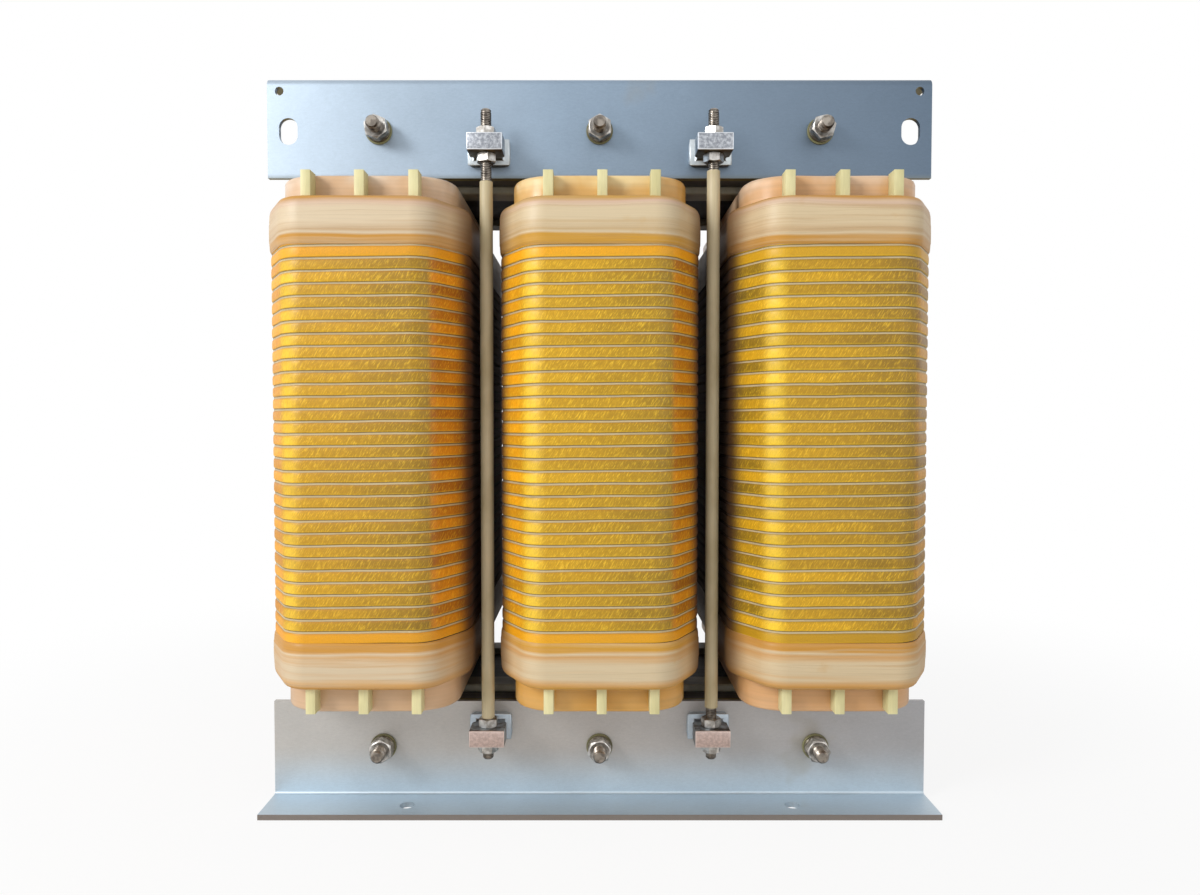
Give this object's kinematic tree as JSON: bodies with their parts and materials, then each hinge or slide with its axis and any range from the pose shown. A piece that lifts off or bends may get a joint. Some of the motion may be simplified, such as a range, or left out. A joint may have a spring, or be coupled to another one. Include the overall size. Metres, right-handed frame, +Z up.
{
  "type": "dry type transformer",
  "caption": "Open dry-type transformer: upright taped coils on a laminated core, clamped by folded steel angles, with insulated tie rods and outward feet.",
  "frame": {"origin": "centre of the object at floor level, on the plane of the feet", "axes": "+X along the core to the viewer's right, +Y from front to rear, +Z up"},
  "size_m": [0.5, 0.3174, 0.549],
  "materials": {
    "core_steel": "stacked laminations, matt",
    "clamp_zinc": "zinc-plated sheet, satin",
    "lug_zinc": "galvanised, rough",
    "fastener_steel": "zinc-plated, bright",
    "laminate": "glass-fibre laminate, satin",
    "washer_laminate": "glass-fibre laminate, satin",
    "sleeve_laminate": "glass-fibre tube, satin",
    "stick_laminate": "glass-fibre laminate, satin",
    "inner_wrap": "varnished tape",
    "winding_tape": "varnished glass-fibre tape",
    "band_tape": "shrunk tape, satin"
  },
  "bodies": {
    "root": {"core_limb_left": "core_steel", "core_limb_middle": "core_steel", "core_limb_right": "core_steel", "core_lower_yoke": "core_steel", "core_upper_yoke": "core_steel", "lower_clamp_front": "clamp_zinc", "yoke_board_lower_front": "laminate", "tie_lugs_lower_front": "lug_zinc", "lower_clamp_rear": "clamp_zinc", "yoke_board_lower_rear": "laminate", "tie_lugs_lower_rear": "lug_zinc", "coil_support_strips_lower": "laminate", "yoke_studs_lower": "fastener_steel", "upper_clamp_front": "clamp_zinc", "yoke_board_upper_front": "laminate", "tie_lugs_upper_front": "lug_zinc", "upper_clamp_rear": "clamp_zinc", "yoke_board_upper_rear": "laminate", "tie_lugs_upper_rear": "lug_zinc", "coil_support_strips_upper": "laminate", "yoke_studs_upper": "fastener_steel", "yoke_stud_tubes": "laminate", "insulating_washers": "washer_laminate", "steel_washers": "fastener_steel", "yoke_stud_nuts": "fastener_steel", "tie_rod_nuts_front": "fastener_steel", "tie_rod_front_left": "fastener_steel", "rod_sleeve_front_left": "sleeve_laminate", "tie_rod_front_right": "fastener_steel", "rod_sleeve_front_right": "sleeve_laminate", "tie_rod_nuts_rear": "fastener_steel", "tie_rod_rear_left": "fastener_steel", "rod_sleeve_rear_left": "sleeve_laminate", "tie_rod_rear_right": "fastener_steel", "rod_sleeve_rear_right": "sleeve_laminate", "coil_former_left": "laminate", "inner_winding_left": "inner_wrap", "middle_winding_left": "inner_wrap", "duct_sticks_left": "stick_laminate", "outer_winding_left": "winding_tape", "end_band_lower_left": "band_tape", "end_band_upper_left": "band_tape", "coil_former_middle": "laminate", "inner_winding_middle": "inner_wrap", "middle_winding_middle": "inner_wrap", "duct_sticks_middle": "stick_laminate", "outer_winding_middle": "winding_tape", "end_band_lower_middle": "band_tape", "end_band_upper_middle": "band_tape", "coil_former_right": "laminate", "inner_winding_right": "inner_wrap", "middle_winding_right": "inner_wrap", "duct_sticks_right": "stick_laminate", "outer_winding_right": "winding_tape", "end_band_lower_right": "band_tape", "end_band_upper_right": "band_tape"}
  },
  "joints": []
}
